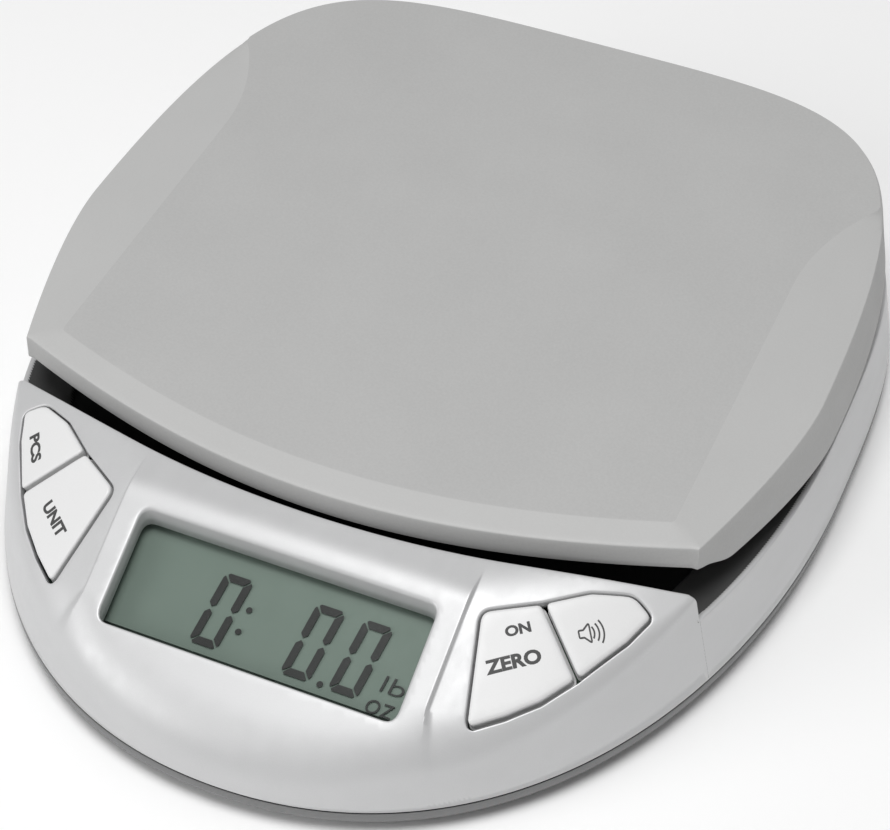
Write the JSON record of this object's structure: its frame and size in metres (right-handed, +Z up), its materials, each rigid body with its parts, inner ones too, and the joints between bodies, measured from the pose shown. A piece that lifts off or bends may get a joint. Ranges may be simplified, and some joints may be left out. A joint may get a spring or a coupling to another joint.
{
  "type": "compact counter scale",
  "caption": "Compact electronic counter scale: bowed weighing platform on a load cell, over a silver housing with a sloped deck, slanted display and keys at both sides.",
  "frame": {"origin": "on the supporting surface under the middle of the bounding box", "axes": "+Z up, +Y to the back, +X to the user's right; the display faces the user at -Y"},
  "size_m": [0.1484, 0.173, 0.0342],
  "materials": {
    "upper_housing": "fine silver paint, satin",
    "lower_housing": "moulded grey, satin",
    "platform": "fine sparkle texture, matte",
    "key": "satin off-white",
    "black_plastic": "moulded black",
    "switch_plunger": "ivory",
    "rubber": "matte",
    "board": "green solder mask",
    "lcd": "grey-green reflective display",
    "lens": "clear",
    "steel": "zinc plated",
    "aluminium": "milled",
    "contact": "nickel plated",
    "red_insulation": "pvc",
    "white_silicone": "matte",
    "battery_wrap": "printed wrap without lettering"
  },
  "bodies": {
    "base": {"lower_housing": "lower_housing", "upper_housing": "upper_housing", "lcd_frame": "black_plastic", "buzzer": "black_plastic", "controller_chip": "black_plastic", "black_wire": "black_plastic", "zero_switch_body": "black_plastic", "sound_switch_body": "black_plastic", "unit_switch_body": "black_plastic", "count_switch_body": "black_plastic", "front_right_foot": "rubber", "front_left_foot": "rubber", "rear_right_foot": "rubber", "rear_left_foot": "rubber", "main_board": "board", "lcd_panel": "lcd", "display_lens": "lens", "load_cell_spacer": "steel", "overload_stop_screw": "steel", "housing_screw_1": "steel", "housing_screw_2": "steel", "housing_screw_3": "steel", "housing_screw_4": "steel", "housing_screw_5": "steel", "housing_screw_6": "steel", "load_cell_screw_1": "steel", "load_cell_screw_2": "steel", "board_screw_1": "steel", "board_screw_2": "steel", "load_cell": "aluminium", "battery_bridge_contact": "contact", "battery_positive_contact": "contact", "battery_negative_contact": "contact", "red_wire": "red_insulation", "gauge_cover_top": "white_silicone", "gauge_cover_bottom": "white_silicone", "lcd_strip_upper": "white_silicone", "lcd_strip_lower": "white_silicone", "load_cell_cable": "white_silicone", "battery_front": "battery_wrap", "battery_rear": "battery_wrap"},
    "platform": {"platform": "platform", "platform_bracket": "black_plastic", "bracket_screw_1": "steel", "bracket_screw_2": "steel", "platform_screw_1": "steel", "platform_screw_2": "steel", "platform_screw_3": "steel", "platform_screw_4": "steel"},
    "battery_door": {"battery_door": "lower_housing"},
    "zero_key": {"zero_key": "key"},
    "zero_plunger": {"zero_switch_plunger": "switch_plunger"},
    "sound_key": {"sound_key": "key"},
    "sound_plunger": {"sound_switch_plunger": "switch_plunger"},
    "unit_key": {"unit_key": "key"},
    "unit_plunger": {"unit_switch_plunger": "switch_plunger"},
    "count_key": {"count_key": "key"},
    "count_plunger": {"count_switch_plunger": "switch_plunger"}
  },
  "joints": [
    {"name": "platform_travel", "type": "slide", "parent": "base", "child": "platform", "axis": [0, 0, 1], "range_m": [-0.00025, 0], "stiffness_N_per_m": 20000},
    {"name": "battery_door_hinge", "type": "hinge", "parent": "base", "child": "battery_door", "pos_m": [0, 0.0487, 0.0012], "axis": [1, 0, 0], "range_deg": [-100, 0]},
    {"name": "zero_key_press", "type": "slide", "parent": "base", "child": "zero_key", "axis": [0, 0.454, -0.891], "range_m": [0, 0.0004], "stiffness_N_per_m": 400},
    {"name": "zero_plunger_press", "type": "slide", "parent": "base", "child": "zero_plunger", "axis": [0, 0.454, -0.891], "range_m": [0, 0.00045]},
    {"name": "sound_key_press", "type": "slide", "parent": "base", "child": "sound_key", "axis": [0, 0.454, -0.891], "range_m": [0, 0.0004], "stiffness_N_per_m": 400},
    {"name": "sound_plunger_press", "type": "slide", "parent": "base", "child": "sound_plunger", "axis": [0, 0.454, -0.891], "range_m": [0, 0.00045]},
    {"name": "unit_key_press", "type": "slide", "parent": "base", "child": "unit_key", "axis": [0, 0.454, -0.891], "range_m": [0, 0.0004], "stiffness_N_per_m": 400},
    {"name": "unit_plunger_press", "type": "slide", "parent": "base", "child": "unit_plunger", "axis": [0, 0.454, -0.891], "range_m": [0, 0.00045]},
    {"name": "count_key_press", "type": "slide", "parent": "base", "child": "count_key", "axis": [0, 0.454, -0.891], "range_m": [0, 0.0004], "stiffness_N_per_m": 400},
    {"name": "count_plunger_press", "type": "slide", "parent": "base", "child": "count_plunger", "axis": [0, 0.454, -0.891], "range_m": [0, 0.00045]}
  ],
  "couplings": [
    {"joint": "zero_plunger_press", "follows": "zero_key_press", "ratio": 1},
    {"joint": "sound_plunger_press", "follows": "sound_key_press", "ratio": 1},
    {"joint": "unit_plunger_press", "follows": "unit_key_press", "ratio": 1},
    {"joint": "count_plunger_press", "follows": "count_key_press", "ratio": 1}
  ]
}
